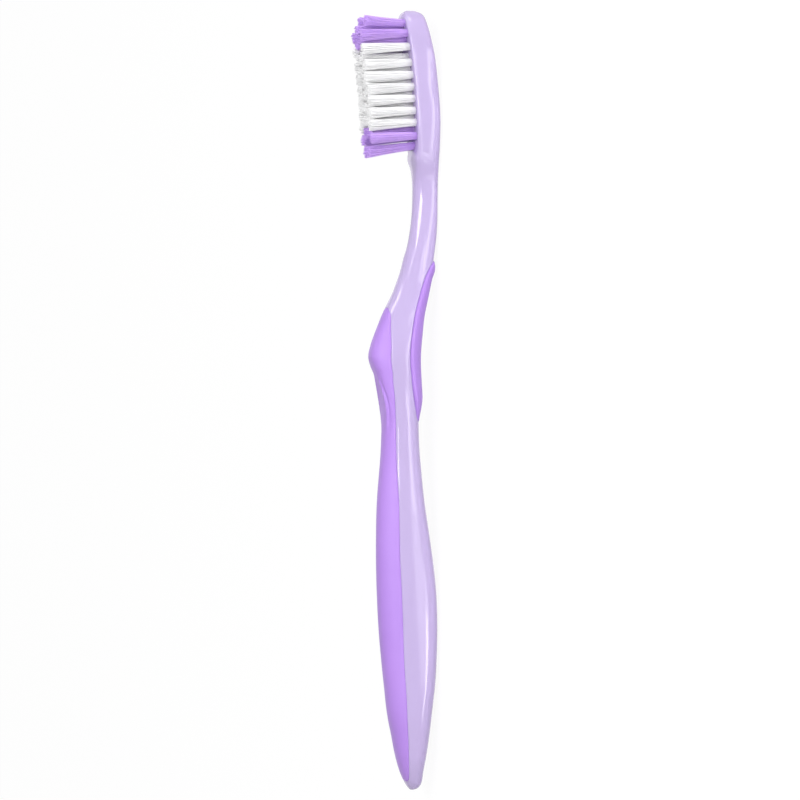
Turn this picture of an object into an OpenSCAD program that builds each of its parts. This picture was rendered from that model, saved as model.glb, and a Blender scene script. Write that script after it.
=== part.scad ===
// Manual toothbrush: one glossy moulded body, a soft grip let into its front, a soft thumb pad
// let into its back, and tufts of bristles held in the head by small flat anchors.
// X runs from the butt to the toe of the head, Y is across, and Z is the way the bristles point.
// The brush lies on its back. The origin is on that surface, under the middle of the brush.

/* [Handle] */
// Length of the handle, from the butt to the foot of the neck
handle_len = 124; // [112:1:136]
// Width of the handle at its fullest
handle_w = 13.2; // [12:0.1:15]
// Height of the handle's front above the surface that the brush lies on, at its fullest
handle_h = 14.8; // [13:0.1:17]
// Rise of the finger bump above the handle's front
bump_rise = 3.2; // [1.5:0.1:4.5]

/* [Neck] */
// Length of the neck, from the handle to the heel of the head
neck_len = 32; // [26:1:40]
// Width of the neck at its thinnest
neck_w = 6.2; // [5:0.1:7.5]
// Thickness of the neck at its thinnest
neck_t = 5.85; // [5:0.05:7]

/* [Head] */
// Length of the head, from its heel to its toe
head_len = 34; // [32:1:40]
// Width of the head at its widest
head_w = 12.4; // [11.8:0.1:14]
// Thickness of the head at its heel
head_t = 5.8; // [5.4:0.1:7]
// Rise of the head's back towards the toe
toe_kick = 3.4; // [2:0.1:4]

/* [Front grip] */
// Thickness of the soft grip, which is also the depth of its recess
grip_t = 1.4; // [0.8:0.1:2]
// Distance from the butt to the grip's tail
grip_tail = 2.2; // [1.8:0.1:4]
// Distance from the foot of the neck back to the grip's nose
grip_nose_back = 6.5; // [5:0.1:9]

/* [Thumb pad] */
// Thickness of the pad below the handle's own surface, which is also the depth of its recess
pad_t = 1.1; // [0.7:0.1:1.6]
// How far the pad stands proud of the handle
pad_proud = 0.9; // [0.4:0.1:1.2]
// Distance from the foot of the neck back to the pad's tail
pad_tail_back = 34.3; // [28:0.1:38]
// Distance that the pad's nose runs up the neck
pad_nose_on = 5.2; // [3:0.1:7]

/* [Bristles] */
// Diameter of each tuft's hole in the head
hole_d = 2; // [1.8:0.05:2.05]
// Depth of each tuft's hole
hole_depth = 3; // [2.2:0.1:3.4]
// Clearance round a tuft in its hole
tuft_fit = 0.05; // [0.03:0.01:0.1]
// Free length of the white bristles
white_len = 12; // [8:0.1:13]
// Angle that the bristles lean back from straight up
bristle_lean = 5; // [0:0.5:8]
// Extra angle that the row next to the heel splays outwards
heel_splay = 6; // [0:0.5:8]
// Extra angle that the row next to the toe splays outwards
toe_splay = 8.5; // [0:0.5:9]
// Bristle strands in each tuft's inner ring
inner_strands = 3; // [3:1:3]
// Bristle strands in each tuft's outer ring
outer_strands = 9; // [6:1:9]
// Radius of one strand
strand_r = 0.17; // [0.1:0.01:0.17]

/* [Anchors] */
// Width of an anchor plate
anchor_w = 1.65; // [1.3:0.05:1.7]
// Height of an anchor plate
anchor_h = 1.6; // [1:0.1:1.8]
// Thickness of an anchor plate
anchor_t = 0.25; // [0.15:0.05:0.35]

/* [Hidden] */
brush_len = handle_len + neck_len + head_len;
grip_nose = handle_len - grip_nose_back;
pad_tail = handle_len - pad_tail_back;
pad_nose = handle_len + pad_nose_on;
// Run of the sloping wall round each recess
wall_run = 0.28;
// Overrun of a cut past the face that it opens
overrun = 0.8;
// Depth of the strands' feet inside the folded root of their tuft
strand_foot = 1;
// How far a tuft's root stays below the head's face
root_below = 0.45;
lilac = [0.82, 0.76, 0.93];
purple = [0.75, 0.58, 0.96];
white = [0.96, 0.96, 0.97];
brass = [0.78, 0.66, 0.38];

// Handle: place as a share of its length; back and front heights as shares of handle_h; the
// finger bump as a share of bump_rise; half width as a share of half of handle_w
handle_shares = [
    [0.000, 0.345, 0.422, 0.00, 0.12],
    [0.003, 0.298, 0.446, 0.00, 0.26],
    [0.009, 0.257, 0.482, 0.00, 0.39],
    [0.018, 0.230, 0.522, 0.00, 0.48],
    [0.035, 0.213, 0.584, 0.00, 0.59],
    [0.056, 0.185, 0.638, 0.00, 0.71],
    [0.080, 0.153, 0.687, 0.00, 0.79],
    [0.107, 0.124, 0.730, 0.00, 0.86],
    [0.137, 0.096, 0.784, 0.00, 0.92],
    [0.165, 0.070, 0.821, 0.00, 0.95],
    [0.200, 0.038, 0.854, 0.00, 0.98],
    [0.240, 0.014, 0.894, 0.00, 0.99],
    [0.315, 0.000, 0.954, 0.00, 1.00],
    [0.387, 0.020, 0.988, 0.00, 0.99],
    [0.452, 0.078, 1.004, 0.00, 0.95],
    [0.515, 0.154, 1.004, 0.00, 0.90],
    [0.552, 0.202, 0.997, 0.00, 0.87],
    [0.586, 0.238, 0.981, 0.00, 0.84],
    [0.650, 0.292, 0.936, 0.00, 0.79],
    [0.682, 0.312, 0.921, 0.00, 0.78],
    [0.725, 0.322, 0.913, 0.00, 0.78],
    [0.775, 0.316, 0.927, 0.13, 0.80],
    [0.816, 0.320, 0.934, 0.46, 0.83],
    [0.834, 0.325, 0.928, 0.80, 0.84],
    [0.852, 0.327, 0.925, 1.00, 0.85],
    [0.875, 0.318, 0.919, 0.86, 0.84],
    [0.895, 0.302, 0.896, 0.70, 0.82],
    [0.915, 0.285, 0.867, 0.53, 0.79],
    [0.934, 0.262, 0.839, 0.36, 0.76],
    [0.950, 0.232, 0.811, 0.20, 0.73],
    [0.975, 0.182, 0.736, 0.06, 0.68],
    [1.000, 0.135, 0.669, 0.00, 0.62]
];

// Neck: place as a share of its length; back and front heights as shares of neck_t; half width
// as a share of half of neck_w
neck_shares = [
    [0.090, 0.230, 1.525, 1.26],
    [0.170, 0.165, 1.418, 1.19],
    [0.260, 0.102, 1.268, 1.12],
    [0.350, 0.043, 1.170, 1.07],
    [0.450, 0.010, 1.093, 1.03],
    [0.550, 0.000, 1.047, 1.00],
    [0.650, 0.000, 1.024, 1.00],
    [0.775, 0.000, 1.013, 1.03],
    [0.865, 0.000, 1.030, 1.20],
    [0.935, 0.000, 1.100, 1.60]
];

// Head: place as a share of its length; back height as a share of toe_kick; height of the face
// above the heel's as a share of toe_kick; half width as a share of half of head_w
head_shares = [
    [0.000, 0.000, 0.095, 0.890],
    [0.060, 0.000, 0.100, 0.920],
    [0.130, 0.000, 0.130, 0.970],
    [0.210, 0.000, 0.165, 0.995],
    [0.310, 0.036, 0.235, 1.000],
    [0.400, 0.105, 0.300, 1.000],
    [0.500, 0.210, 0.385, 1.000],
    [0.600, 0.345, 0.485, 0.990],
    [0.690, 0.485, 0.595, 0.965],
    [0.765, 0.630, 0.705, 0.920],
    [0.825, 0.745, 0.800, 0.865],
    [0.880, 0.865, 0.890, 0.775],
    [0.925, 0.970, 0.955, 0.665],
    [0.960, 1.090, 0.975, 0.530],
    [0.984, 1.300, 0.895, 0.370],
    [1.000, 1.640, 0.690, 0.180]
];

// The section against place as a share of the brush: powers of its rounded outline at the front,
// at the side and at the back, and the height of its widest line as a share of its own height
section_shares = [
    [0.00, 2.2, 2, 2.2, 0.46],
    [0.06, 2.2, 1.8, 2.1, 0.32],
    [0.14, 2.2, 1.6, 2, 0.22],
    [0.24, 2.2, 1.55, 1.95, 0.17],
    [0.36, 2.2, 1.6, 1.95, 0.20],
    [0.47, 2.4, 1.77, 2.1, 0.28],
    [0.50, 3, 1.76, 2.1, 0.29],
    [0.53, 3, 1.40, 2.1, 0.35],
    [0.56, 2.4, 1.38, 2.1, 0.30],
    [0.62, 2.2, 1.42, 2.1, 0.27],
    [0.70, 2.1, 1.76, 2.1, 0.20],
    [0.76, 2.3, 1.42, 2.2, 0.20],
    [0.81, 4, 1.40, 2.6, 0.28],
    [0.87, 5.4, 1.42, 2.4, 0.24],
    [0.905, 6.2, 1.60, 2.8, 0.34],
    [0.94, 5.2, 1.45, 2.5, 0.22],
    [1.00, 8, 2.20, 2.75, 0.34]
];

// Half angle that the front grip covers, seen from the section's middle, along its length
grip_angle_shares = [
    [0.000, 30],
    [0.006, 44.5],
    [0.022, 52],
    [0.058, 54.7],
    [0.100, 54.5],
    [0.150, 54],
    [0.200, 51.8],
    [0.250, 50.4],
    [0.320, 50.4],
    [0.400, 50.6],
    [0.470, 51],
    [0.540, 53],
    [0.590, 54.4],
    [0.640, 52.4],
    [0.680, 50.9],
    [0.720, 49.7],
    [0.765, 49.8],
    [0.805, 52.1],
    [0.843, 53.6],
    [0.878, 56.4],
    [0.915, 54.9],
    [0.956, 44.6],
    [0.985, 33.2],
    [1.000, 14]
];

// Half angle that the thumb pad covers, seen from the section's middle, along its length
pad_angle_shares = [
    [0.000, 25],
    [0.013, 55],
    [0.075, 72.6],
    [0.137, 81.8],
    [0.200, 82.2],
    [0.280, 79.6],
    [0.370, 82.5],
    [0.460, 87],
    [0.540, 91.4],
    [0.630, 94],
    [0.711, 96.6],
    [0.792, 98.4],
    [0.863, 96],
    [0.915, 93],
    [0.958, 81],
    [0.989, 45],
    [1.000, 15]
];

// How far the pad stands proud along its length, as a share of pad_proud
pad_swell_shares = [
    [0.000, 0.05],
    [0.040, 0.30],
    [0.090, 0.70],
    [0.150, 0.96],
    [0.240, 0.82],
    [0.330, 0.72],
    [0.550, 0.72],
    [0.750, 0.62],
    [0.880, 0.56],
    [0.940, 0.80],
    [1.000, 0.30]
];

// Columns of the skin, as shares of the grip's, the side's and the pad's own angle
grip_column_shares = [0, 0.28, 0.55, 0.8];
side_column_shares = [0, 0.13, 0.27, 0.42, 0.58, 0.73, 0.87, 1];
pad_column_shares = [0.62, 0.31, 0];
// Angles of the grip's and the pad's columns on the plain parts of the skin
plain_grip_angle = 52;
plain_pad_angle = 52;
// Length over which the columns spread out again past a grip's end
column_ease = 16;
grip_rim = len(grip_column_shares) + 1;
pad_rim = grip_rim + len(side_column_shares) - 1;
back_column = pad_rim + 1 + len(pad_column_shares);
ring = back_column * 2;

// Smooth curve through the rows of a table, whose first column is the place
function slope(rows, i) =
    let (a = rows[max(i - 1, 0)], b = rows[min(i + 1, len(rows) - 1)])
    (b - a) / (b[0] - a[0]);
function span(rows, x, i = 0) =
    i >= len(rows) - 2 || x < rows[i + 1][0] ? i : span(rows, x, i + 1);
function smooth(rows, x) =
    let (i = span(rows, x), a = rows[i], b = rows[i + 1])
    let (w = b[0] - a[0], t = (x - a[0]) / w, u = 1 - t)
    u * u * (1 + 2 * t) * a + t * t * (1 + 2 * u) * b
        + t * u * w * (u * slope(rows, i) - t * slope(rows, i + 1));

// The brush's profile: place, back height, front height, half width
profile = concat(
    [for (r = handle_shares) [
        r[0] * handle_len,
        r[1] * handle_h,
        r[2] * handle_h + r[3] * bump_rise,
        r[4] * handle_w / 2
    ]],
    [for (r = neck_shares) [
        handle_len + r[0] * neck_len,
        r[1] * neck_t,
        r[2] * neck_t,
        r[3] * neck_w / 2
    ]],
    [for (r = head_shares) [
        handle_len + neck_len + r[0] * head_len,
        r[1] * toe_kick,
        head_t + r[2] * toe_kick,
        r[3] * head_w / 2
    ]]
);
sections = [for (r = section_shares) [r[0] * brush_len, r[1], r[2], r[3], r[4]]];
grip_angles = [for (r = grip_angle_shares) [grip_tail + r[0] * (grip_nose - grip_tail), r[1]]];
pad_angles = [for (r = pad_angle_shares) [pad_tail + r[0] * (pad_nose - pad_tail), r[1]]];
pad_swells = [for (r = pad_swell_shares)
    [pad_tail + r[0] * (pad_nose - pad_tail), r[1] * pad_proud]];

// Half angle of a grip at a place, eased out to the plain columns past its two ends
function eased(angles, plain, x) =
    let (first = angles[0], last = angles[len(angles) - 1])
    let (past = max(first[0] - x, x - last[0], 0), t = min(past / column_ease, 1))
    let (here = x < first[0] ? first[1] : x > last[0] ? last[1] : smooth(angles, x)[1])
    here + (plain - here) * t * t * (3 - 2 * t);

// One point of the skin at a place, at an angle from the front, drawn in by an inset. The section
// is an egg: its front half and its back half meet at its widest line.
function power(s, n) = sign(s) * pow(abs(s), 2 / n);
function section_point(x, angle, inset) =
    let (p = smooth(profile, x), n = smooth(sections, x), c = cos(angle))
    let (widest = p[1] + n[4] * (p[2] - p[1]))
    let (k = c < 0 ? n[3] : n[2] + (n[1] - n[2]) * c * c)
    let (w = p[3] - inset, h = (c < 0 ? widest - p[1] : p[2] - widest) - inset)
    [x - brush_len / 2, w * power(sin(angle), k), widest + h * power(c, k)];

// Angles of the skin's columns at a place, from the front to the back
function wall_angle(x, angle) =
    min(wall_run / smooth(profile, x)[3] * 180 / PI, angle / 3);
function column_angles(x) =
    let (g = eased(grip_angles, plain_grip_angle, x), p = eased(pad_angles, plain_pad_angle, x))
    concat(
        [for (s = grip_column_shares) s * g],
        [g - wall_angle(x, g)],
        [for (s = side_column_shares) g + s * (180 - p - g)],
        [180 - p + wall_angle(x, p)],
        [for (s = pad_column_shares) 180 - s * p]
    );

// Places of the skin's rings
function even(a, b, n) = [for (i = [0 : n - 1]) a + (b - a) * i / n];
// Rings crowd together towards the butt and the toe by this power
crowding = 1.75;
function opening(a, b, n) = [for (i = [0 : n - 1]) a + (b - a) * pow(i / n, crowding)];
function closing(a, b, n) = [for (i = [0 : n - 1]) b - (b - a) * pow(1 - i / n, crowding)];
head_start = handle_len + neck_len;
tail_run = wall_run * 2;
// Where the handle is nearly at its fullest, and even spacing starts
full_share = 0.24;
full_place = full_share * handle_len;
stations = concat(
    opening(0, grip_tail, 4),
    [grip_tail],
    opening(grip_tail + tail_run, full_place, 11),
    even(full_place, pad_tail - tail_run, 15),
    [pad_tail - tail_run],
    [pad_tail],
    even(pad_tail + tail_run, grip_nose - tail_run, 20),
    [grip_nose - tail_run],
    [grip_nose],
    even(grip_nose + tail_run, pad_nose - tail_run, 5),
    [pad_nose - tail_run],
    [pad_nose],
    even(pad_nose + tail_run, head_start, 10),
    closing(head_start, brush_len, 19),
    [brush_len]
);
last_station = len(stations) - 1;
angles_at = [for (x = stations) column_angles(x)];
grip_from = search([grip_tail], stations)[0];
grip_to = search([grip_nose], stations)[0];
pad_from = search([pad_tail], stations)[0];
pad_to = search([pad_nose], stations)[0];
grip_turn = (grip_from + grip_to) / 2;
pad_turn = (pad_from + pad_to) / 2;

// Depth of the two recesses under the skin, which shallow towards their pointed ends: the share
// of it that is left at a point, and the half angle past it at which the recess is at full depth
point_depth_share = 0.25;
full_depth_angle = 45;
function depth_at(thickness, angle) =
    thickness * min(1, point_depth_share + (1 - point_depth_share) * angle / full_depth_angle);
function grip_depth(i, j) =
    i > grip_from && i < grip_to && j < grip_rim ? depth_at(grip_t, angles_at[i][grip_rim]) : 0;
function pad_depth(i, j) =
    i > pad_from && i < pad_to && j > pad_rim ? depth_at(pad_t, 180 - angles_at[i][pad_rim]) : 0;
function pad_swell(i, j) =
    i > pad_from && i < pad_to && j > pad_rim
        ? -smooth(pad_swells, stations[i])[1] * (j == pad_rim + 1 ? rim_swell_share : 1) : 0;
// How much of its swell the pad already has at its rim
rim_swell_share = 0.5;
function skin(i, j, side, inset) = section_point(stations[i], side * angles_at[i][j], inset);

// Which way the two triangles of a patch meet. Each corner of a recess keeps its own fold.
function folds_back(i, j) = j < (grip_rim + pad_rim) / 2 ? i < grip_turn : i > pad_turn;
function patch(a, b, c, d, back) = back ? [[a, d, b], [b, d, c]] : [[a, c, b], [a, d, c]];
function turned(faces) = [for (f = faces) [f[0], f[2], f[1]]];

// The whole body's skin as one closed shell, with both recesses
function ring_id(i, j, side) = i * ring + (side > 0 ? j : (ring - j) % ring);
function shell_points() = [
    for (i = [0 : last_station], k = [0 : ring - 1])
        let (side = k <= back_column ? 1 : -1, j = side > 0 ? k : ring - k)
        skin(i, j, side, grip_depth(i, j) + pad_depth(i, j))
];
function shell_faces() = concat(
    [for (i = [0 : last_station - 1], j = [0 : back_column - 1], side = [1, -1])
        let (faces = patch(ring_id(i, j, side), ring_id(i, j + 1, side),
            ring_id(i + 1, j + 1, side), ring_id(i + 1, j, side), folds_back(i, j)))
        for (f = side > 0 ? faces : turned(faces)) f],
    [[for (k = [0 : ring - 1]) k]],
    [[for (k = [ring - 1 : -1 : 0]) last_station * ring + k]]
);

// A soft piece that fills a recess: its outer skin, and the recess's own floor and walls
module inlay(from, to, half, front) {
    wide = half * 2 + 1;
    rows = to - from + 1;
    function column(c) = front ? abs(c) : back_column - abs(c);
    function outer_id(i, c) = (i - from) * wide + c + half;
    function is_rim(i, c) = i == from || i == to || abs(c) == half;
    function floor_id(i, c) = is_rim(i, c) ? outer_id(i, c)
        : rows * wide + (i - from - 1) * (wide - 2) + c + half - 1;
    function back_fold(i, c) =
        let (j = front ? (c < 0 ? -c - 1 : c) : back_column - (c < 0 ? -c : c + 1))
        (c < 0) != front == folds_back(i, j);
    outer = [for (i = [from : to], c = [-half : half])
        skin(i, column(c), c < 0 ? -1 : 1, front ? 0 : pad_swell(i, column(c)))];
    floor_points = [for (i = [from + 1 : to - 1], c = [1 - half : half - 1])
        skin(i, column(c), c < 0 ? -1 : 1, front ? grip_depth(i, column(c)) : pad_depth(i, column(c)))];
    faces = [for (i = [from : to - 1], c = [-half : half - 1])
        let (back = back_fold(i, c))
        for (f = concat(
            patch(outer_id(i, c), outer_id(i, c + 1), outer_id(i + 1, c + 1), outer_id(i + 1, c), back),
            turned(patch(floor_id(i, c), floor_id(i, c + 1), floor_id(i + 1, c + 1),
                floor_id(i + 1, c), back))
        )) f];
    polyhedron(concat(outer, floor_points), front ? faces : turned(faces));
}

// Rows of tufts, from heel to toe: place along the head, as a share of its length; place across
// it, as a share of its half width there; free length, as a share of white_len; and the colour
outer_row_shares = [
    [0.100, 0.575, 0.963, "purple"],
    [0.194, 0.575, 0.985, "white"],
    [0.279, 0.575, 0.985, "white"],
    [0.365, 0.575, 0.985, "white"],
    [0.450, 0.575, 0.985, "white"],
    [0.535, 0.575, 1.000, "white"],
    [0.622, 0.575, 1.000, "white"],
    [0.735, 0.570, 1.000, "white"],
    [0.832, 0.615, 0.980, "purple"]
];
inner_row_shares = [
    [0.034, 0.245, 0.972, "purple"],
    [0.147, 0.220, 0.963, "purple"],
    [0.237, 0.220, 0.985, "white"],
    [0.322, 0.220, 0.985, "white"],
    [0.408, 0.220, 0.985, "white"],
    [0.493, 0.220, 0.985, "white"],
    [0.579, 0.220, 1.000, "white"],
    [0.668, 0.220, 1.000, "white"],
    [0.784, 0.235, 0.980, "purple"],
    [0.906, 0.500, 0.840, "purple"]
];
// The single tuft on the head's middle line near the toe: place along the head, and free length
middle_tuft_share = 0.868;
middle_len_share = 0.98;
function row_tufts(name, rows) = [
    for (side = [1, -1], k = [0 : len(rows) - 1])
        let (x = head_start + rows[k][0] * head_len, p = smooth(profile, x))
        let (is_first = name == "inner" && k == 0, is_last = name == "inner" && k == len(rows) - 1)
        [
            str(name, side > 0 ? "_left" : "_right", "_tuft_", k + 1),
            [x - brush_len / 2, side * rows[k][1] * p[3], p[2]],
            rows[k][2] * white_len,
            is_first ? -heel_splay : is_last ? toe_splay : 0,
            rows[k][3] == "purple" ? purple : white
        ]
];
function middle_tuft() =
    let (x = head_start + middle_tuft_share * head_len)
    [
        "toe_middle_tuft",
        [x - brush_len / 2, 0, smooth(profile, x)[2]],
        middle_len_share * white_len,
        0,
        purple
    ];
TUFTS = concat(
    row_tufts("outer", outer_row_shares),
    row_tufts("inner", inner_row_shares),
    [middle_tuft()]
);

// Places its children at a tuft's hole: the local Z axis runs out of the hole
module at_hole(tuft) {
    translate(tuft[1])
        rotate([0, -bristle_lean, 0])
            children();
}

// Pattern of the strands in one tuft: inner and outer ring, in shares of the tuft's radius
inner_ring_share = 0.33;
outer_ring_share = 0.775;
// Radius of a tuft at its cut end, as a share of its radius at the root, along and across
tip_along_share = 1.62;
tip_across_share = 1.5;
// How far the tufts fan out across the head, as a share of their place across
fan_share = 0.08;
// Unevenness of the cut ends, as a share of the strands' length
uneven_share = 0.02;
// Sides of a strand
strand_sides = 3;
tuft_r = hole_d / 2 - tuft_fit;

function strand_spots() = concat(
    [for (k = [0 : inner_strands - 1]) [inner_ring_share, 360 * k / inner_strands]],
    [for (k = [0 : outer_strands - 1]) [outer_ring_share, 360 * (k + 0.5) / outer_strands]]
);

// Strands of one tuft, each a slim bar that starts inside the root and leans out to its tip
module strands(tuft) {
    long = tuft[2];
    shift = [long * tan(tuft[3]), tuft[1][1] * fan_share, 0];
    spots = strand_spots();
    function foot(s) = tuft_r * s[0] * [cos(s[1]), sin(s[1]), 0];
    function tip(s) =
        shift + [foot(s)[0] * tip_along_share, foot(s)[1] * tip_across_share,
            long * (1 + uneven_share * sin(s[1] * 5 + tuft[1][0] * 360 / hole_d))];
    function along(s, z) = foot(s) + (tip(s) - foot(s)) * (z / tip(s)[2]);
    function rim(centre, s) = [for (k = [0 : strand_sides - 1])
        centre + strand_r * [cos(s[1] + 360 * k / strand_sides), sin(s[1] + 360 * k / strand_sides), 0]];
    points = [for (s = spots) each concat(rim(along(s, -strand_foot), s), rim(tip(s), s))];
    faces = [for (n = [0 : len(spots) - 1])
        let (a = n * strand_sides * 2, b = a + strand_sides)
        for (f = concat(
            [[for (k = [0 : strand_sides - 1]) a + k]],
            [[for (k = [strand_sides - 1 : -1 : 0]) b + k]],
            [for (k = [0 : strand_sides - 1]) let (m = (k + 1) % strand_sides) [a + k, b + m, a + m]],
            [for (k = [0 : strand_sides - 1]) let (m = (k + 1) % strand_sides) [a + k, b + k, b + m]]
        )) f];
    polyhedron(points, faces);
}

// One tuft: strands fused to the folded root that sits in the hole, slotted for its anchor
module tuft(t) {
    color(t[4])
        at_hole(t) {
            difference() {
                translate([0, 0, tuft_fit - hole_depth])
                    cylinder(r = tuft_r, h = hole_depth - tuft_fit - root_below, $fn = 24);
                translate([0, 0, (anchor_h + tuft_fit - overrun) / 2 + tuft_fit - hole_depth])
                    cube([anchor_t + tuft_fit * 2, hole_d * 2, anchor_h + tuft_fit + overrun], center = true);
            }
            strands(t);
        }
}

// The anchors: one flat plate upright at the bottom of every tuft's hole
module tuft_anchors() {
    color(brass)
        for (t = TUFTS)
            at_hole(t)
                translate([0, 0, anchor_h / 2 + tuft_fit - hole_depth])
                    cube([anchor_t, anchor_w, anchor_h], center = true);
}

// The moulded body: its lofted skin, with a blind hole for every tuft
module handle_body() {
    color(lilac)
        difference() {
            polyhedron(shell_points(), shell_faces());
            for (t = TUFTS)
                at_hole(t)
                    translate([0, 0, -hole_depth])
                        cylinder(d = hole_d, h = hole_depth + overrun, $fn = 24);
        }
}

module front_grip() {
    color(purple)
        inlay(grip_from, grip_to, grip_rim, true);
}

module thumb_pad() {
    color(purple)
        inlay(pad_from, pad_to, back_column - pad_rim, false);
}

handle_body();
front_grip();
thumb_pad();
tuft_anchors();
for (t = TUFTS) tuft(t);
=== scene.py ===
"""Manual toothbrush, dressed on its fixed frame.

X runs along the brush towards the toe of its head, Z is the way the bristles point, and Y is
across. Sizes are in millimetres and angles in degrees, and places along the brush are counted
from the butt. Only the floor and the lamps are placed in metres, from under the brush's middle.
"""
import math
import random

import bpy
from mathutils import Matrix, Vector


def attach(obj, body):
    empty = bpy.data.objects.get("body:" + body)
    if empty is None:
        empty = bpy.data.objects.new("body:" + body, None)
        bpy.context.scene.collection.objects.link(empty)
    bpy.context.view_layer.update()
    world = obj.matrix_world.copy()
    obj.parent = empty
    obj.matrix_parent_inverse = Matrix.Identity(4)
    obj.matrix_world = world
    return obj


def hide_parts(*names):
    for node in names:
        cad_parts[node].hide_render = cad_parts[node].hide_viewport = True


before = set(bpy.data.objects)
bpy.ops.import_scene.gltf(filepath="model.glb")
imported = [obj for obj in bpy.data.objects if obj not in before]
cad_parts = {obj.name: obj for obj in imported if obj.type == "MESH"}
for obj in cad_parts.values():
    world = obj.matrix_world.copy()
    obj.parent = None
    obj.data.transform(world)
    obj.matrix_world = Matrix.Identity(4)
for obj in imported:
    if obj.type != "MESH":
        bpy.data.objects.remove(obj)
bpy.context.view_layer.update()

# A millimetre in metres
MM = 0.001

# Handle: length, fullest width and height, and rise of the finger bump above its front
HANDLE_LEN = 124.0
HANDLE_W = 13.2
HANDLE_H = 14.8
BUMP_RISE = 3.2
# Neck: length, and the width and thickness where it is thinnest
NECK_LEN = 32.0
NECK_W = 6.2
NECK_T = 5.85
# Head: length, fullest width, thickness at its heel, and rise of its back towards the toe
HEAD_LEN = 34.0
HEAD_W = 12.4
HEAD_T = 5.8
TOE_KICK = 3.4
HEAD_START = HANDLE_LEN + NECK_LEN
BRUSH_LEN = HEAD_START + HEAD_LEN
# Front grip: thickness, and the places of its ends
GRIP_T = 1.4
GRIP_TAIL = 2.2
GRIP_NOSE = HANDLE_LEN - 6.5
# Thumb pad: thickness below the body's surface, height above it, and the places of its ends
PAD_T = 1.1
PAD_PROUD = 0.9
PAD_TAIL = HANDLE_LEN - 34.3
PAD_NOSE = HANDLE_LEN + 5.2
# Run over which the pad rises from its edge
PAD_SHOULDER = 1.1
# Tufts: hole, clearance in it, free length of the white bristles, lean of all tufts back from
# straight up, and outward splay of the tufts next to the heel and the toe
HOLE_D = 2.0
TUFT_FIT = 0.05
WHITE_LEN = 12.0
BRISTLE_LEAN = 5.0
HEEL_SPLAY = 3.8
TOE_SPLAY = 6.0

# Handle: place as a share of its length; back and front heights as shares of HANDLE_H; the
# finger bump as a share of BUMP_RISE; half width as a share of half of HANDLE_W
HANDLE_SHARES = (
    (0.000, 0.345, 0.422, 0.00, 0.12),
    (0.003, 0.298, 0.446, 0.00, 0.26),
    (0.009, 0.257, 0.482, 0.00, 0.39),
    (0.018, 0.230, 0.522, 0.00, 0.48),
    (0.035, 0.213, 0.584, 0.00, 0.59),
    (0.056, 0.185, 0.638, 0.00, 0.71),
    (0.080, 0.153, 0.687, 0.00, 0.79),
    (0.107, 0.124, 0.730, 0.00, 0.86),
    (0.137, 0.096, 0.784, 0.00, 0.92),
    (0.165, 0.070, 0.821, 0.00, 0.95),
    (0.200, 0.038, 0.854, 0.00, 0.98),
    (0.240, 0.014, 0.894, 0.00, 0.99),
    (0.315, 0.000, 0.954, 0.00, 1.00),
    (0.387, 0.020, 0.988, 0.00, 0.99),
    (0.452, 0.078, 1.004, 0.00, 0.95),
    (0.515, 0.154, 1.004, 0.00, 0.90),
    (0.552, 0.202, 0.997, 0.00, 0.87),
    (0.586, 0.238, 0.981, 0.00, 0.84),
    (0.650, 0.292, 0.936, 0.00, 0.79),
    (0.682, 0.312, 0.921, 0.00, 0.78),
    (0.725, 0.322, 0.913, 0.00, 0.78),
    (0.775, 0.316, 0.927, 0.13, 0.80),
    (0.816, 0.320, 0.934, 0.46, 0.83),
    (0.834, 0.325, 0.928, 0.80, 0.84),
    (0.852, 0.327, 0.925, 1.00, 0.85),
    (0.875, 0.318, 0.919, 0.86, 0.84),
    (0.895, 0.302, 0.896, 0.70, 0.82),
    (0.915, 0.285, 0.867, 0.53, 0.79),
    (0.934, 0.262, 0.839, 0.36, 0.76),
    (0.950, 0.232, 0.811, 0.20, 0.73),
    (0.975, 0.182, 0.736, 0.06, 0.68),
    (1.000, 0.135, 0.669, 0.00, 0.62),
)
# Neck: place as a share of its length; back and front heights as shares of NECK_T; half width
# as a share of half of NECK_W
NECK_SHARES = (
    (0.090, 0.230, 1.525, 1.26),
    (0.170, 0.165, 1.418, 1.19),
    (0.260, 0.102, 1.268, 1.12),
    (0.350, 0.043, 1.170, 1.07),
    (0.450, 0.010, 1.093, 1.03),
    (0.550, 0.000, 1.047, 1.00),
    (0.650, 0.000, 1.024, 1.00),
    (0.775, 0.000, 1.013, 1.10),
    (0.865, 0.000, 1.030, 1.36),
    (0.935, 0.000, 1.100, 1.58),
)
# Head: place as a share of its length; back height, and height of the face above the heel's, as
# shares of TOE_KICK; half width as a share of half of HEAD_W
HEAD_SHARES = (
    (0.000, 0.000, 0.095, 0.872),
    (0.060, 0.000, 0.100, 0.925),
    (0.130, 0.000, 0.130, 0.970),
    (0.210, 0.000, 0.165, 0.995),
    (0.310, 0.036, 0.235, 1.000),
    (0.400, 0.105, 0.300, 1.000),
    (0.500, 0.210, 0.385, 1.000),
    (0.600, 0.345, 0.485, 0.990),
    (0.690, 0.485, 0.595, 0.965),
    (0.765, 0.630, 0.705, 0.920),
    (0.825, 0.745, 0.800, 0.865),
    (0.880, 0.865, 0.890, 0.775),
    (0.925, 0.970, 0.955, 0.665),
    (0.960, 1.090, 0.975, 0.530),
    (0.984, 1.300, 0.895, 0.370),
    (1.000, 1.640, 0.690, 0.180),
)
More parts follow.
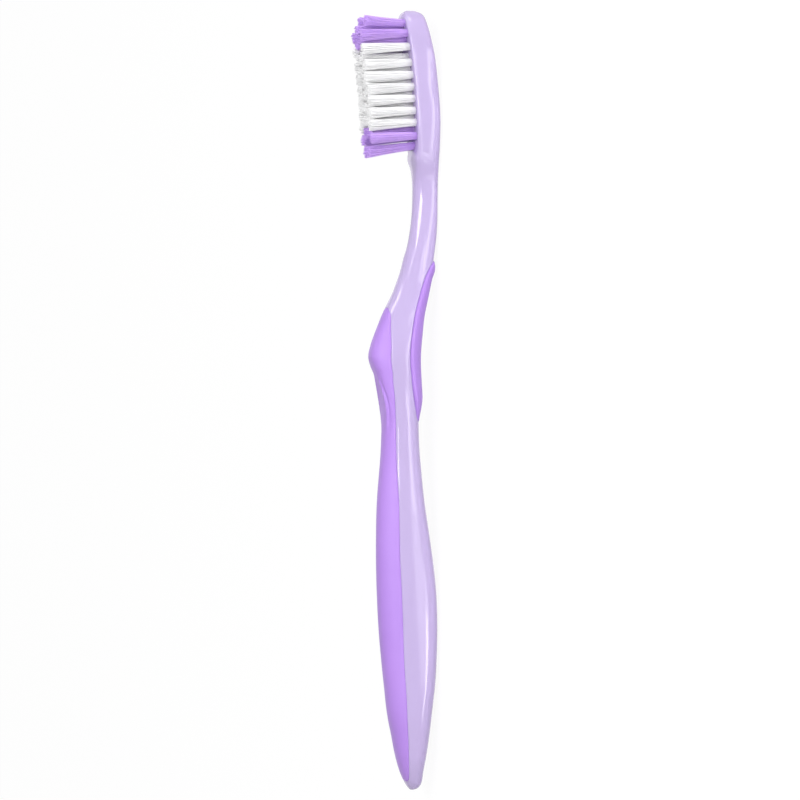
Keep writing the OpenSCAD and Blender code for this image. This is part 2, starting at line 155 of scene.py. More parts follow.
# The section against place as a share of the brush: powers of its rounded outline at the front,
# at the side and at the back, and the height of its widest line as a share of its own height
SECTION_SHARES = (
    (0.00, 2.2, 2.0, 2.2, 0.46),
    (0.06, 2.2, 1.8, 2.1, 0.32),
    (0.14, 2.2, 1.6, 2.0, 0.22),
    (0.24, 2.2, 1.55, 1.95, 0.17),
    (0.36, 2.2, 1.6, 1.95, 0.20),
    (0.47, 2.4, 1.77, 2.1, 0.28),
    (0.50, 3.0, 1.76, 2.1, 0.29),
    (0.53, 3.0, 1.40, 2.1, 0.35),
    (0.56, 2.4, 1.38, 2.1, 0.30),
    (0.62, 2.2, 1.42, 2.1, 0.27),
    (0.70, 2.1, 1.76, 2.1, 0.20),
    (0.76, 2.3, 1.42, 2.2, 0.20),
    (0.81, 4.0, 1.40, 2.6, 0.28),
    (0.87, 5.4, 1.42, 2.4, 0.24),
    (0.905, 6.2, 1.60, 2.8, 0.34),
    (0.94, 5.2, 1.45, 2.5, 0.22),
    (1.00, 8.0, 2.20, 2.75, 0.34),
)
# Half angle that the front grip covers, seen from the section's middle, against place as a share
# of its length
GRIP_ANGLE_SHARES = (
    (0.000, 30.0),
    (0.006, 44.5),
    (0.022, 52.0),
    (0.058, 54.7),
    (0.100, 54.5),
    (0.150, 54.0),
    (0.200, 51.8),
    (0.250, 50.4),
    (0.320, 50.4),
    (0.400, 50.6),
    (0.470, 51.0),
    (0.540, 53.0),
    (0.590, 54.4),
    (0.640, 52.4),
    (0.680, 50.9),
    (0.720, 49.7),
    (0.765, 49.8),
    (0.805, 52.1),
    (0.843, 53.6),
    (0.878, 56.4),
    (0.915, 54.9),
    (0.956, 44.6),
    (0.985, 33.2),
    (1.000, 14.0),
)
# Half angle that the thumb pad covers, in the same way
PAD_ANGLE_SHARES = (
    (0.000, 25.0),
    (0.013, 55.0),
    (0.075, 72.6),
    (0.137, 81.8),
    (0.200, 82.2),
    (0.280, 79.6),
    (0.370, 82.5),
    (0.460, 87.0),
    (0.540, 91.4),
    (0.630, 94.0),
    (0.711, 96.6),
    (0.792, 98.4),
    (0.863, 96.0),
    (0.915, 93.0),
    (0.958, 81.0),
    (0.989, 45.0),
    (1.000, 15.0),
)
# How far the pad stands proud, as a share of PAD_PROUD, against place as a share of its length
PAD_SWELL_SHARES = (
    (0.000, 0.05),
    (0.040, 0.30),
    (0.090, 0.70),
    (0.150, 0.96),
    (0.240, 0.82),
    (0.330, 0.72),
    (0.550, 0.72),
    (0.750, 0.62),
    (0.880, 0.56),
    (0.940, 0.80),
    (1.000, 0.30),
)
# Rows of tufts, from heel to toe: place along the head, as a share of its length; place across
# it, as a share of its half width there; free length, as a share of WHITE_LEN; and the colour
OUTER_ROW_SHARES = (
    (0.100, 0.575, 0.963, "purple"),
    (0.194, 0.575, 0.985, "white"),
    (0.279, 0.575, 0.985, "white"),
    (0.365, 0.575, 0.985, "white"),
    (0.450, 0.575, 0.985, "white"),
    (0.535, 0.575, 1.000, "white"),
    (0.622, 0.575, 1.000, "white"),
    (0.735, 0.570, 1.000, "white"),
    (0.832, 0.615, 0.980, "purple"),
)
INNER_ROW_SHARES = (
    (0.034, 0.245, 0.972, "purple"),
    (0.147, 0.220, 0.963, "purple"),
    (0.237, 0.220, 0.985, "white"),
    (0.322, 0.220, 0.985, "white"),
    (0.408, 0.220, 0.985, "white"),
    (0.493, 0.220, 0.985, "white"),
    (0.579, 0.220, 1.000, "white"),
    (0.668, 0.220, 1.000, "white"),
    (0.784, 0.235, 0.980, "purple"),
    (0.906, 0.500, 0.840, "purple"),
)
# The single tuft on the head's middle line near the toe, in the same way
MIDDLE_TUFT_SHARE = 0.868
MIDDLE_LEN_SHARE = 0.98

# The head's face meets its flanks in a crisp edge: where that comes and goes, and what it adds
# to the section's powers as shares of them, and to the power that blends front into side
CRISP_COMES = (HEAD_START - 9.0, HEAD_START + 5.0)
CRISP_GOES = (BRUSH_LEN - 9.0, BRUSH_LEN - 3.0)
CRISP_FRONT_SHARE = 1.6
CRISP_SIDE_SHARE = -0.1
PLAIN_BLEND = 2.0
CRISP_BLEND = 0.6
# Least half width and height that a section is drawn in to, and least radius that counts where
# a run along the skin is turned into degrees
LEAST_HALF = 0.02
LEAST_RADIUS = 0.3

# The seam round a soft piece: both edges are rounded down into a fine groove, and below it the
# recess's wall slopes in to the floor
SEAM_DEPTH = 0.13
SEAM_BODY_RUN = 0.2
SEAM_SOFT_RUN = 0.26
WALL_RUN = 0.28
# Steps of a rounded edge, as shares of its run
EDGE_STEP_SHARES = (0.0, 0.3, 0.6, 1.0)
# A soft piece's rim or a recess's wall takes at most one part in so many of its half angle
RIM_PARTS = 3
# How far the floor of a soft piece stays above its recess's
FLOOR_LIFT = 0.01
# Depth of a recess where it comes to a point, as a share of its full depth, and the half angle
# from which it is full
POINT_DEPTH_SHARE = 0.25
FULL_DEPTH_ANGLE = 45.0
# Past a recess's ends its columns ease over to a plain angle
PLAIN_ANGLE = 52.0
COLUMN_EASE = 16.0

# Columns of the mesh: over a recess's floor, over the body's side and over half a soft piece
FLOOR_COLUMNS = 4
SIDE_COLUMNS = 22
SOFT_COLUMNS = 30
# Rings of the mesh: step at the brush's ends, what each millimetre inwards adds to it and up to
# where, and the least distance between two rings
END_STEP = 0.07
STEP_GROWTH_SHARE = 0.06
STEP_GROWTH_REACH = 6.0
LEAST_STEP = 0.035
# What still counts as within a soft piece's ends
TOLERANCE = 1e-6

# The fine crease below the finger bump, along each side of the grip: the places of its ends, and
# its angle from the front against place as a share of its length
CREASE_TAIL = HANDLE_LEN - 37.2
CREASE_NOSE = HANDLE_LEN - 21.6
CREASE_ANGLE_SHARES = (
    (0.000, 21.0),
    (0.179, 23.2),
    (0.333, 24.3),
    (0.519, 22.0),
    (0.705, 14.0),
    (0.904, 7.3),
    (1.000, 4.5),
)
CREASE_FADE_POWER = 0.7
# Its ridge, the shallow hollow in front of the ridge, and the groove behind it
RIDGE_RISE = 0.22
RIDGE_RUN = 0.42
RIDGE_POWER = 1.5
HOLLOW_DEPTH = 0.22
HOLLOW_RUN = 0.5
GROOVE_DEPTH = 0.22
GROOVE_AT = 0.8
GROOVE_RUN = 0.32

# Filaments of a tuft: how many, their radius, sides and steps along, and depth of their feet
# below the head's face
FILAMENTS = 96
FILAMENT_R = 0.085
FILAMENT_SIDES = 6
FILAMENT_STEPS = 5
FOOT_DEPTH = 0.6
TUFT_R = HOLE_D / 2 - TUFT_FIT
GOLDEN_ANGLE = 137.508
# Spread of a tuft towards its tips, along and across the head as shares of its radius, how far
# it fans out as a share of its place across, and the power by which it spreads
TIP_ALONG_SHARE = 1.6
TIP_ACROSS_SHARE = 1.4
FAN_SHARE = 0.08
SPREAD_POWER = 1.25
# Unevenness of the filaments: scatter of their tips and of their bow; and the middle, the scatter
# and the most of what the cut adds to their length
TIP_SCATTER = 0.05
BOW_SCATTER = 0.05
CUT_MIDDLE = -0.1
CUT_SCATTER = 0.22
CUT_MOST = 0.2
# Bevel of a cut end: its height, and its top's radius as a share of the filament's
BEVEL_RISE = 0.05
BEVEL_TOP_SHARE = 0.6

# Lowest and highest value that counts in a noise pattern
PATTERN_LOW = 0.3
PATTERN_HIGH = 0.7

# Camera of the photograph: elevation above the side view, roll in radians, lens and sensor
CAMERA_ELEVATION = 16.5
CAMERA_ROLL = 0.0032
CAMERA_LENS = 135.0
CAMERA_SENSOR = 36.0
CAMERA_CLIP_M = (0.01, 20.0)
# How much nearer to the camera the brush is than the floor under it
NEARNESS = 2.4
# The photograph in pixels: its side, the brush's length in it, the row of the butt's end, and a
# point of the X axis
PHOTO_SIZE = 800.0
PHOTO_BRUSH_LEN = 778.6
PHOTO_BUTT_Y = 789.7
PHOTO_AXIS_X = 434.95
PHOTO_AXIS_Y = 611.0
PHOTO_PX_PER_MM = PHOTO_BRUSH_LEN / BRUSH_LEN

# Floor: its side in metres and how far it stays below the brush; its shade for the rays that
# light the brush and for those that see or mirror it, and its own glow for the second
FLOOR_SIDE_M = 12.0
FLOOR_DROP = 0.02
FLOOR_LIGHTING_SHADE = 0.95
FLOOR_SEEN_SHADE = 0.1
FLOOR_GLOW = 0.93
# How bright the world's white is for the rays that light the brush
WORLD_LEVEL = 0.41
WHITE = (1.0, 1.0, 1.0, 1.0)

# Strips of light on the camera's side: name, two places along the brush, two angles above the
# floor, distance, and brightness as so many times white
STRIPS = (
    ("band", (-0.030, 0.140), (3.0, 9.5), 0.3, 5.0),
    ("band_low", (-0.030, 0.140), (0.1, 3.0), 0.3, 3.0),
    ("band_high", (0.112, 0.135), (9.5, 17.0), 0.3, 4.2),
    ("handle_fade", (-0.100, -0.030), (2.0, 11.0), 0.3, 2.4),
    ("handle_line", (-0.108, -0.063), (0.3, 3.4), 0.2, 11.5),
    ("handle_line_tail", (-0.126, -0.108), (0.3, 2.8), 0.2, 6.0),
    ("waist_line", (-0.070, -0.045), (0.1, 1.8), 0.3, 6.0),
)
# Larger soft lamps: name, place along the brush, angle above the floor on the camera's side, which
# past 90 is on the far side, distance, size along the brush and up, brightness as so many times
# white, turn and shape
SOFTBOXES = (
    ("far_fill", 0.0, 171.5, 1.2, (1.6, 0.3), 0.5, 0.0, "RECTANGLE"),
    ("key", 0.17, 42.0, 1.0, (0.50, 0.19), 12.0, 47.0, "RECTANGLE"),
    ("key_tail", 0.41, 51.0, 1.0, (0.16, 0.26), 2.5, 0.0, "ELLIPSE"),
    ("nose_glint", 0.75, 69.0, 1.0, (0.22, 0.40), 7.0, 0.0, "ELLIPSE"),
    ("toe_softbox", 1.7, 23.0, 1.0, (0.68, 0.75), 6.5, 0.0, "RECTANGLE"),
)


# Curves
def ramp(x, start, stop):
    """0 before a start, 1 past a stop, and an eased slope between them."""
    t = min(max((x - start) / (stop - start), 0.0), 1.0)
    return t * t * (3 - 2 * t)


def even(start, stop, count):
    """Numbers in even steps from a start, without the stop."""
    return [start + (stop - start) * k / count for k in range(count)]


def placed(rows, start, length):
    """A table with its shares of a length turned into places from the butt."""
    return [(start + row[0] * length,) + tuple(row[1:]) for row in rows]


def smooth(rows, x):
    """The smooth curve through a table's rows, whose first column is the place."""
    last = len(rows) - 1

    def slope(i):
        a, b = rows[max(i - 1, 0)], rows[min(i + 1, last)]
        return [(q - p) / (b[0] - a[0]) for p, q in zip(a, b)]

    i = 0
    while i < last - 1 and x >= rows[i + 1][0]:
        i += 1
    a, b = rows[i], rows[i + 1]
    w = b[0] - a[0]
    t = min(max((x - a[0]) / w, 0.0), 1.0)
    u = 1 - t
    return [u * u * (1 + 2 * t) * p + t * t * (1 + 2 * u) * q + t * u * w * (u * m - t * n)
            for p, q, m, n in zip(a, b, slope(i), slope(i + 1))]


# Place, back height, front height and half width, from the butt to the toe
PROFILE = (
    [(r[0] * HANDLE_LEN, r[1] * HANDLE_H, r[2] * HANDLE_H + r[3] * BUMP_RISE, r[4] * HANDLE_W / 2)
     for r in HANDLE_SHARES]
    + [(HANDLE_LEN + r[0] * NECK_LEN, r[1] * NECK_T, r[2] * NECK_T, r[3] * NECK_W / 2)
       for r in NECK_SHARES]
    + [(HEAD_START + r[0] * HEAD_LEN, r[1] * TOE_KICK, HEAD_T + r[2] * TOE_KICK, r[3] * HEAD_W / 2)
       for r in HEAD_SHARES]
)
SECTION_POWERS = placed(SECTION_SHARES, 0.0, BRUSH_LEN)
PAD_SWELLS = placed(PAD_SWELL_SHARES, PAD_TAIL, PAD_NOSE - PAD_TAIL)
CREASE_ANGLES = placed(CREASE_ANGLE_SHARES, CREASE_TAIL, CREASE_NOSE - CREASE_TAIL)


# Sections and recesses
class Section:
    """The rounded-square section of the brush at one place along it."""

    def __init__(self, x):
        self.x = x
        _, back, front, self.half_w = smooth(PROFILE, x)
        _, self.front_power, self.side_power, self.back_power, widest = smooth(SECTION_POWERS, x)
        self.widest = back + widest * (front - back)
        self.rise = front - self.widest
        self.drop = self.widest - back
        crisp = ramp(x, *CRISP_COMES) * (1 - ramp(x, *CRISP_GOES))
        self.front_power *= 1 + CRISP_FRONT_SHARE * crisp
        self.side_power *= 1 + CRISP_SIDE_SHARE * crisp
        self.blend = PLAIN_BLEND + CRISP_BLEND * crisp
        self.degrees_per_mm = math.degrees(1 / max(self.half_w, LEAST_RADIUS))

    def point(self, angle, inset):
        """A point of the skin at an angle from the front, drawn in by an inset."""
        s, c = math.sin(math.radians(angle)), math.cos(math.radians(angle))
        if c >= 0:
            n = self.side_power + (self.front_power - self.side_power) * c ** self.blend
            z = c ** (2 / n) * max(self.rise - inset, LEAST_HALF)
        else:
            n = self.back_power
            z = -((-c) ** (2 / n)) * max(self.drop - inset, LEAST_HALF)
        y = math.copysign(abs(s) ** (2 / n), s) * max(self.half_w - inset, LEAST_HALF)
        return Vector((self.x - BRUSH_LEN / 2, y, self.widest + z))


class Recess:
    """The bed of a soft piece in the body, between two places and out to a half angle."""

    def __init__(self, tail, nose, thickness, angle_shares):
        self.tail, self.nose, self.thickness = tail, nose, thickness
        self.angles = placed(angle_shares, tail, nose - tail)

    def angle(self, x):
        """Half angle at a place, eased over to a plain angle past the ends."""
        here = smooth(self.angles, x)[1]
        past = max(self.angles[0][0] - x, x - self.angles[-1][0])
        return here + (PLAIN_ANGLE - here) * ramp(past, 0.0, COLUMN_EASE)

    def depth(self, x):
        """Depth of the floor at a place, less where the recess comes to a point."""
        breadth = self.angle(x) / FULL_DEPTH_ANGLE
        return self.thickness * min(1, POINT_DEPTH_SHARE + (1 - POINT_DEPTH_SHARE) * breadth)

    def inside(self, x, lateral):
        """How far a point lies inside the nearest edge, from its place and its own distance
        inside the side edge. It is negative outside."""
        return min(lateral, x - self.tail, self.nose - x)


GRIP_RECESS = Recess(GRIP_TAIL, GRIP_NOSE, GRIP_T, GRIP_ANGLE_SHARES)
PAD_RECESS = Recess(PAD_TAIL, PAD_NOSE, PAD_T, PAD_ANGLE_SHARES)


def ring_places():
    """Places of the rings: even along the brush, crowded at its ends and at each recess's ends."""
    places = {0.0, BRUSH_LEN, GRIP_TAIL, GRIP_NOSE, PAD_TAIL, PAD_NOSE}
    x = 0.0
    while x < BRUSH_LEN:
        places.add(round(x, 4))
        from_end = min(x, BRUSH_LEN - x)
        x += END_STEP + min(from_end, STEP_GROWTH_REACH) * STEP_GROWTH_SHARE
    for end, inward in ((GRIP_TAIL, 1), (GRIP_NOSE, -1), (PAD_TAIL, 1), (PAD_NOSE, -1)):
        for share in EDGE_STEP_SHARES[1:]:
            places.add(end + inward * SEAM_SOFT_RUN * share)
            places.add(end - inward * SEAM_BODY_RUN * share)
    kept = []
    for x in sorted(places):
        if not kept or x - kept[-1] > LEAST_STEP:
            kept.append(x)
    # The last ring is at the very end, also where it is dropped above for being close
    kept[-1] = BRUSH_LEN
    return kept


SECTIONS = [Section(x) for x in ring_places()]


# Materials
def new_material(name):
    """A node material, with its node tree and its Principled shader."""
    material = bpy.data.materials.new(name)
    material.use_nodes = True
    return material, material.node_tree, material.node_tree.nodes["Principled BSDF"]


def noise(tree, scale, detail=3.0, stretch=(1.0, 1.0, 1.0)):
    """A noise pattern fixed to the piece, with its detail per metre and a stretch by axis."""
    place = tree.nodes.new("ShaderNodeTexCoord")
    mapping = tree.nodes.new("ShaderNodeMapping")
    mapping.inputs["Scale"].default_value = stretch
    pattern = tree.nodes.new("ShaderNodeTexNoise")
    pattern.inputs["Scale"].default_value = scale
    pattern.inputs["Detail"].default_value = detail
    tree.links.new(place.outputs["Object"], mapping.inputs["Vector"])
    tree.links.new(mapping.outputs["Vector"], pattern.inputs["Vector"])
    return pattern.outputs["Fac"]


def between(tree, pattern, low, high):
    """Two colours or two numbers mixed by a pattern."""
    level = tree.nodes.new("ShaderNodeMapRange")
    level.inputs["From Min"].default_value = PATTERN_LOW
    level.inputs["From Max"].default_value = PATTERN_HIGH
    tree.links.new(pattern, level.inputs["Value"])
    if isinstance(low, tuple):
        mix = tree.nodes.new("ShaderNodeMix")
        mix.data_type = "RGBA"
        mix.inputs["A"].default_value = low + (1.0,)
        mix.inputs["B"].default_value = high + (1.0,)
        tree.links.new(level.outputs["Result"], mix.inputs["Factor"])
        return mix.outputs["Result"]
    level.inputs["To Min"].default_value = low
    level.inputs["To Max"].default_value = high
    return level.outputs["Result"]


def bump(tree, pattern, depth, strength):
    """A bump of a real depth in metres from a pattern."""
    node = tree.nodes.new("ShaderNodeBump")
    node.inputs["Distance"].default_value = depth
    node.inputs["Strength"].default_value = strength
    tree.links.new(pattern, node.inputs["Height"])
    return node.outputs["Normal"]


def lilac_plastic():
    """Glossy moulded plastic: a clear skin, faint flow clouds and a very fine waviness."""
    material, tree, shader = new_material("lilac_plastic")
    clouds = noise(tree, scale=60.0, detail=2.0, stretch=(0.35, 1.0, 1.0))
    haze = noise(tree, scale=300.0)
    waves = noise(tree, scale=140.0, detail=1.0, stretch=(0.3, 1.0, 1.0))
    colour = between(tree, clouds, low=(0.501, 0.403, 0.681), high=(0.521, 0.421, 0.701))
    tree.links.new(colour, shader.inputs["Base Color"])
    tree.links.new(between(tree, haze, low=0.07, high=0.11), shader.inputs["Roughness"])
    tree.links.new(bump(tree, waves, depth=0.00002, strength=0.12), shader.inputs["Normal"])
    shader.inputs["IOR"].default_value = 1.49
    return material


def purple_grip():
    """Soft satin rubber with a fine sandblasted grain."""
    material, tree, shader = new_material("purple_grip")
    clouds = noise(tree, scale=80.0, detail=2.0)
    haze = noise(tree, scale=1500.0)
    grain = noise(tree, scale=5200.0, detail=2.0)
    colour = between(tree, clouds, low=(0.442, 0.242, 0.745), high=(0.464, 0.257, 0.767))
    tree.links.new(colour, shader.inputs["Base Color"])
    tree.links.new(between(tree, haze, low=0.42, high=0.52), shader.inputs["Roughness"])
    tree.links.new(bump(tree, grain, depth=0.00003, strength=0.25), shader.inputs["Normal"])
    shader.inputs["IOR"].default_value = 1.5
    return material


def nylon(name, low, high):
    """Drawn nylon filament: a little uneven in colour, with a soft gloss."""
    material, tree, shader = new_material(name)
    clouds = noise(tree, scale=900.0, detail=2.0)
    haze = noise(tree, scale=2500.0)
    tree.links.new(between(tree, clouds, low, high), shader.inputs["Base Color"])
    tree.links.new(between(tree, haze, low=0.3, high=0.42), shader.inputs["Roughness"])
    shader.inputs["IOR"].default_value = 1.53
    return material


def brass():
    """Sheared brass strip with fine rolling lines."""
    material, tree, shader = new_material("anchor_brass")
    lines = noise(tree, scale=3000.0, detail=2.0, stretch=(1.0, 0.05, 1.0))
    colour = between(tree, lines, low=(0.60, 0.44, 0.17), high=(0.72, 0.55, 0.25))
    tree.links.new(colour, shader.inputs["Base Color"])
    tree.links.new(between(tree, lines, low=0.25, high=0.4), shader.inputs["Roughness"])
    shader.inputs["Metallic"].default_value = 1.0
    return material


LILAC = lilac_plastic()
GRIP = purple_grip()
WHITE_NYLON = nylon("white_nylon", low=(0.97, 0.97, 0.975), high=(0.985, 0.985, 0.99))
PURPLE_NYLON = nylon("purple_nylon", low=(0.645, 0.415, 0.95), high=(0.69, 0.445, 0.97))
BRASS = brass()
# Material and slot of a tuft by its colour
BRISTLES = {
    "purple": (PURPLE_NYLON, "purple_bristle"),
    "white": (WHITE_NYLON, "white_bristle"),
}


# Meshes
def mesh_piece(name, node, points, faces, material):
    """A smooth-shaded mesh that rides on the brush and stands for a CAD node."""
    mesh = bpy.data.meshes.new(name)
    mesh.from_pydata([p * MM for p in points], [], faces)
    mesh.polygons.foreach_set("use_smooth", [True] * len(mesh.polygons))
    mesh.materials.append(material)
    mesh.update()
    piece = bpy.data.objects.new(name, mesh)
    bpy.context.scene.collection.objects.link(piece)
    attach(piece, "root")
    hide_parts(node)


def tube_faces(first, rings, sides):
    """Faces of a closed tube, from its first point's number and its count of rings and sides."""
    faces = []
    last = first + (rings - 1) * sides
    for start in range(first, last, sides):
        for k in range(sides):
            a, b = start + k, start + (k + 1) % sides
            faces.append((a, b, b + sides, a + sides))
    faces.append(tuple(reversed(range(first, first + sides))))
    faces.append(tuple(range(last, last + sides)))
    return faces


def flipped(face):
    """A face turned over, with the same first corner."""
    return face[:1] + face[:0:-1]


# The moulded body
def body_inset(run, depth):
    """Depth of the body's skin at a distance inside a recess's edge."""
    if run <= -SEAM_BODY_RUN:
        return 0.0
    if run <= 0.0:
        return SEAM_DEPTH * (1 + run / SEAM_BODY_RUN) ** 2
    return SEAM_DEPTH + (depth - SEAM_DEPTH) * min(run / WALL_RUN, 1.0)


def seam_angles(edge, per_mm):
    """Angles across a recess's side edge: its wall's foot, its wall's top, and the rounding."""
    wall = min(WALL_RUN, edge / per_mm / RIM_PARTS)
    rounding = [edge + SEAM_BODY_RUN * share * per_mm for share in EDGE_STEP_SHARES]
    return [edge - wall * per_mm] + rounding


def half_columns(section):
    """Angles of the body's columns from the front to the back of one half, each with its
    distances inside the grip's and the pad's side edge."""
    per_mm = section.degrees_per_mm
    grip_edge, pad_edge = GRIP_RECESS.angle(section.x), PAD_RECESS.angle(section.x)
    front = seam_angles(grip_edge, per_mm)
    back = [180 - angle for angle in reversed(seam_angles(pad_edge, per_mm))]
    columns = even(0.0, front[0], FLOOR_COLUMNS) + front
    columns += even(front[-1], back[0], SIDE_COLUMNS)[1:] + back
    columns += even(back[-1], 180.0, FLOOR_COLUMNS)[1:] + [180.0]
    return [(angle, (grip_edge - angle) / per_mm, (angle - 180 + pad_edge) / per_mm)
            for angle in columns]


def body_ring(section):
    """One ring of the body's points, round from the front."""
    x = section.x
    grip_depth, pad_depth = GRIP_RECESS.depth(x), PAD_RECESS.depth(x)
    columns = half_columns(section)
    ring = []
    for side, half in ((1, columns), (-1, columns[-2:0:-1])):
        for angle, in_grip, in_pad in half:
            inset = max(body_inset(GRIP_RECESS.inside(x, in_grip), grip_depth),
                        body_inset(PAD_RECESS.inside(x, in_pad), pad_depth))
            ring.append(section.point(side * angle, inset))
    return ring


def build_body():
    """The moulded body: a fine loft with a recess for each soft piece."""
    rings = [body_ring(section) for section in SECTIONS]
    points = [point for ring in rings for point in ring]
    faces = [flipped(face) for face in tube_faces(0, len(rings), len(rings[0]))]
    mesh_piece("moulded_body", "handle_body", points, faces, LILAC)


# The soft pieces
def edge_inset(run):
    """Depth of a soft piece's rounded edge at a distance inside it."""
    left = max(1 - run / SEAM_SOFT_RUN, 0.0)
    return SEAM_DEPTH * left * left


def crease_rise(section, angle):
    """Height of the grip's fine ridge, with its hollow and groove, all faded out at their ends."""
    if not CREASE_TAIL < section.x < CREASE_NOSE:
        return 0.0
    off = (abs(angle) - smooth(CREASE_ANGLES, section.x)[1]) / section.degrees_per_mm
    along = (section.x - CREASE_TAIL) / (CREASE_NOSE - CREASE_TAIL)
    fade = math.sin(math.pi * along) ** CREASE_FADE_POWER
    ridge = RIDGE_RISE * max(1 - abs(off) / RIDGE_RUN, 0.0) ** RIDGE_POWER
    hollow = HOLLOW_DEPTH * (1 - math.exp(min(off + RIDGE_RUN, 0.0) / HOLLOW_RUN))
    groove = GROOVE_DEPTH * math.exp(-((off - GROOVE_AT) / GROOVE_RUN) ** 2)
    return fade * (ridge - hollow - groove)


def pad_rise(section, run):
    """Height of the pad above the body's surface, up from its edge over a rounded shoulder."""
    t = min(max(run, 0.0) / PAD_SHOULDER, 1.0)
    return PAD_PROUD * smooth(PAD_SWELLS, section.x)[1] * math.sqrt(1 - (1 - t) ** 2)


def soft_columns(section, recess):
    """Angles of a soft piece's columns from one side edge to the other, each with its distance
    inside that edge."""
    per_mm = section.degrees_per_mm
    edge = recess.angle(section.x)
    rim = [min(SEAM_SOFT_RUN * share, edge / per_mm / RIM_PARTS) for share in EDGE_STEP_SHARES]
    half = even(0.0, edge - rim[-1] * per_mm, SOFT_COLUMNS)
    half += [edge - run * per_mm for run in reversed(rim)]
    whole = [-angle for angle in reversed(half[1:])] + half
    return [(angle, (edge - abs(angle)) / per_mm) for angle in whole]


def build_soft(name, node, recess, is_front, rise):
    """A soft piece in its recess: a fine skin that a rise lifts from the body's surface, closed
    by a floor that meets the skin along its rim."""
    sections = [s for s in SECTIONS if recess.tail - TOLERANCE <= s.x <= recess.nose + TOLERANCE]
    rows = [soft_columns(section, recess) for section in sections]
    last_row, last_column = len(rows) - 1, len(rows[0]) - 1
    points = []

    def add(section, angle, inset):
        points.append(section.point(angle if is_front else 180 - angle, inset))
        return len(points) - 1

    skin, floor = {}, {}
    for i, (section, row) in enumerate(zip(sections, rows)):
        for k, (angle, lateral) in enumerate(row):
            run = recess.inside(section.x, lateral)
            skin[i, k] = add(section, angle, edge_inset(run) - rise(section, angle, run))
    for i, (section, row) in enumerate(zip(sections, rows)):
        for k, (angle, lateral) in enumerate(row):
            if i in (0, last_row) or k in (0, last_column):
                floor[i, k] = skin[i, k]
                continue
            run = recess.inside(section.x, lateral)
            inset = body_inset(max(run, 0.0), recess.depth(section.x)) - FLOOR_LIFT
            floor[i, k] = add(section, angle, inset)
    faces = []
    for i in range(last_row):
        for k in range(last_column):
            top = (skin[i, k], skin[i + 1, k], skin[i + 1, k + 1], skin[i, k + 1])
            bottom = (floor[i, k], floor[i, k + 1], floor[i + 1, k + 1], floor[i + 1, k])
            faces += [top, bottom] if is_front else [top[::-1], bottom[::-1]]
    mesh_piece(name, node, points, faces, GRIP)


# The bristles
def head_directions():
    """The directions along the head and across it, and the one in which the bristles leave it."""
    lean = math.radians(-BRISTLE_LEAN)
    along = Vector((math.cos(lean), 0, -math.sin(lean)))
    out = Vector((math.sin(lean), 0, math.cos(lean)))
    return along, Vector((0, 1, 0)), out


ALONG, ACROSS, OUT = head_directions()


def tuft_list():
    """Every tuft: its CAD node, its hole's middle on the head's face, length, splay and colour."""
    tufts = []
    for family, rows in (("outer", OUTER_ROW_SHARES), ("inner", INNER_ROW_SHARES)):
        splays = {0: -HEEL_SPLAY, len(rows) - 1: TOE_SPLAY} if family == "inner" else {}
        for side, word in ((1, "left"), (-1, "right")):
            for k, (along, across, share, colour) in enumerate(rows):
                x = HEAD_START + along * HEAD_LEN
                _, _, front, half_w = smooth(PROFILE, x)
                root = Vector((x - BRUSH_LEN / 2, side * across * half_w, front))
                tufts.append((f"{family}_{word}_tuft_{k + 1}", root, share * WHITE_LEN,
                              splays.get(k, 0.0), colour))
    x = HEAD_START + MIDDLE_TUFT_SHARE * HEAD_LEN
    root = Vector((x - BRUSH_LEN / 2, 0, smooth(PROFILE, x)[2]))
    tufts.append(("toe_middle_tuft", root, MIDDLE_LEN_SHARE * WHITE_LEN, 0.0, "purple"))
    return tufts


def filament(n, root, length, splay, chance):
    """Middles of a filament's rings, from its foot in the head to its cut end."""
    reach = math.sqrt((n + 0.5) / FILAMENTS) * (TUFT_R - FILAMENT_R)
    turn = math.radians(n * GOLDEN_ANGLE)
    foot_along, foot_across = reach * math.cos(turn), reach * math.sin(turn)
    splayed = length * math.tan(math.radians(splay))
    fanned = root.y * FAN_SHARE
    tip_along = foot_along * TIP_ALONG_SHARE + splayed + chance.gauss(0, TIP_SCATTER)
    tip_across = foot_across * TIP_ACROSS_SHARE + fanned + chance.gauss(0, TIP_SCATTER)
    cut = length + min(chance.gauss(CUT_MIDDLE, CUT_SCATTER), CUT_MOST)
    bow = chance.gauss(0, BOW_SCATTER)
    middles = []
    for k in range(FILAMENT_STEPS + 1):
        t = k / FILAMENT_STEPS
        spread = t ** SPREAD_POWER
        along = foot_along + (tip_along - foot_along) * spread + bow * math.sin(math.pi * t)
        across = foot_across + (tip_across - foot_across) * spread
        height = (cut + FOOT_DEPTH) * t - FOOT_DEPTH
        middles.append(root + ALONG * along + ACROSS * across + OUT * height)
    return middles


def circle(middle, radius):
    """One ring of a filament's points."""
    angles = even(0.0, 2 * math.pi, FILAMENT_SIDES)
    return [middle + radius * (ALONG * math.cos(a) + ACROSS * math.sin(a)) for a in angles]


def build_tuft(node, root, length, splay, colour):
    """A bundle of fine filaments that leave the hole together and spread to their cut ends."""
    chance = random.Random(node)
    points, faces = [], []
    for n in range(FILAMENTS):
        middles = filament(n, root, length, splay, chance)
        rings = [circle(middle, FILAMENT_R) for middle in middles]
        rings.append(circle(middles[-1] + OUT * BEVEL_RISE, BEVEL_TOP_SHARE * FILAMENT_R))
        faces += tube_faces(len(points), len(rings), FILAMENT_SIDES)
        points += [point for ring in rings for point in ring]
    material, slot = BRISTLES[colour]
    mesh_piece("bristles_" + node, node, points, faces, material)


